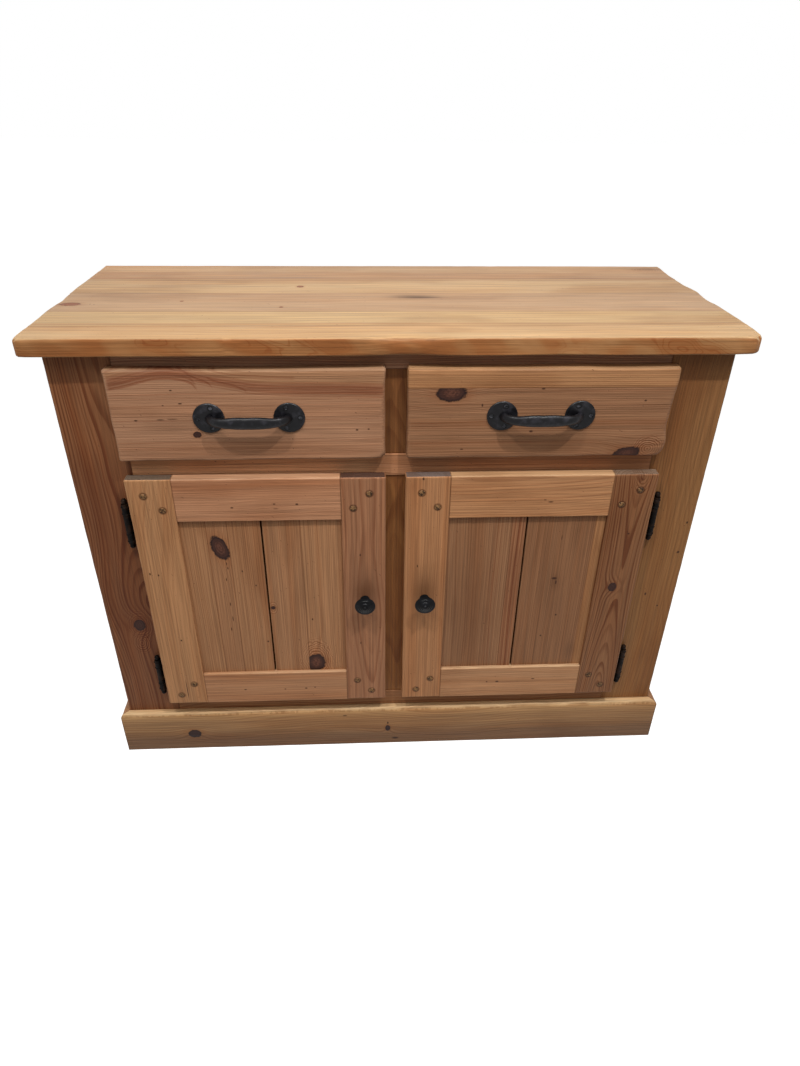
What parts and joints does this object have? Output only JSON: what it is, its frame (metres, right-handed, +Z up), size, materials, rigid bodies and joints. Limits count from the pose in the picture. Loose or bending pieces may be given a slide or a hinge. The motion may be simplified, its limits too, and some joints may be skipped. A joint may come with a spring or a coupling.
{
  "type": "buffet cabinet",
  "caption": "Rustic reclaimed-pine buffet: thick waney-edged top, two drawers with forged bar pulls over two pegged frame-and-panel doors on finial butt hinges, rounded plinth.",
  "frame": {"origin": "On the floor, under the middle of the bounding box.", "axes": "+X to the viewer's right when facing the doors, +Y from the doors to the back, +Z up. The doors and drawers face -Y."},
  "size_m": [1.1, 0.4976, 0.85],
  "materials": {
    "top_pine": "waxed old pine, honey coloured, satin",
    "stile_pine": "waxed old pine, dark reddish brown, rough sawn",
    "rail_pine": "waxed old pine, brown, satin",
    "side_pine": "waxed old pine, brown, satin",
    "plinth_pine": "waxed old pine, golden brown, satin",
    "drawer_pine": "waxed old pine, tan, satin",
    "door_pine": "waxed old pine, honey coloured, satin",
    "panel_pine": "waxed old pine, pinkish brown, satin",
    "inner_pine": "bare pine, dry",
    "peg_wood": "dark end grain",
    "black_iron": "blackened, matt",
    "strike_steel": "zinc plated",
    "catch_body": "brown, matt"
  },
  "bodies": {
    "carcass": {"back_boards": "inner_pine", "back_rails": "inner_pine", "battens": "inner_pine", "bottom_rail": "rail_pine", "door_catches": "catch_body", "drawer_guides": "inner_pine", "drawer_runners": "inner_pine", "floor_boards": "inner_pine", "hinge_frame_leaves": "black_iron", "hinge_frame_screws": "black_iron", "hinge_pins": "black_iron", "kickers": "inner_pine", "left_side_boards": "side_pine", "left_stile": "stile_pine", "lower_muntin": "rail_pine", "mid_rail": "rail_pine", "plinth_front": "plinth_pine", "plinth_returns": "plinth_pine", "right_side_boards": "side_pine", "right_stile": "stile_pine", "shelf_boards": "inner_pine", "top_board_1": "top_pine", "top_board_2": "top_pine", "top_board_3": "top_pine", "top_board_4": "top_pine", "top_board_5": "top_pine", "top_rail": "rail_pine", "upper_muntin": "rail_pine"},
    "left_drawer": {"left_drawer_front": "drawer_pine", "left_drawer_sides": "inner_pine", "left_drawer_back": "inner_pine", "left_drawer_bottom": "inner_pine", "left_drawer_pull": "black_iron", "left_drawer_pull_screws": "black_iron"},
    "right_drawer": {"right_drawer_front": "drawer_pine", "right_drawer_sides": "inner_pine", "right_drawer_back": "inner_pine", "right_drawer_bottom": "inner_pine", "right_drawer_pull": "black_iron", "right_drawer_pull_screws": "black_iron"},
    "left_door": {"left_door_hinge_stile": "door_pine", "left_door_meeting_stile": "door_pine", "left_door_top_rail": "door_pine", "left_door_bottom_rail": "door_pine", "left_door_panel_boards": "panel_pine", "left_door_pegs": "peg_wood", "left_door_knob": "black_iron", "left_door_hinge_leaves": "black_iron", "left_door_strike_plate": "strike_steel", "left_door_screws": "black_iron"},
    "right_door": {"right_door_hinge_stile": "door_pine", "right_door_meeting_stile": "door_pine", "right_door_top_rail": "door_pine", "right_door_bottom_rail": "door_pine", "right_door_panel_boards": "panel_pine", "right_door_pegs": "peg_wood", "right_door_knob": "black_iron", "right_door_hinge_leaves": "black_iron", "right_door_strike_plate": "strike_steel", "right_door_screws": "black_iron"}
  },
  "joints": [
    {"name": "left_drawer_slide", "type": "slide", "parent": "carcass", "child": "left_drawer", "axis": [0, -1, 0], "range_m": [0, 0.3]},
    {"name": "right_drawer_slide", "type": "slide", "parent": "carcass", "child": "right_drawer", "axis": [0, -1, 0], "range_m": [0, 0.3]},
    {"name": "left_door_hinge", "type": "hinge", "parent": "carcass", "child": "left_door", "pos_m": [-0.445, -0.2015, 0.378], "axis": [0, 0, -1], "range_deg": [0, 115]},
    {"name": "right_door_hinge", "type": "hinge", "parent": "carcass", "child": "right_door", "pos_m": [0.445, -0.2015, 0.378], "axis": [0, 0, 1], "range_deg": [0, 115]}
  ]
}
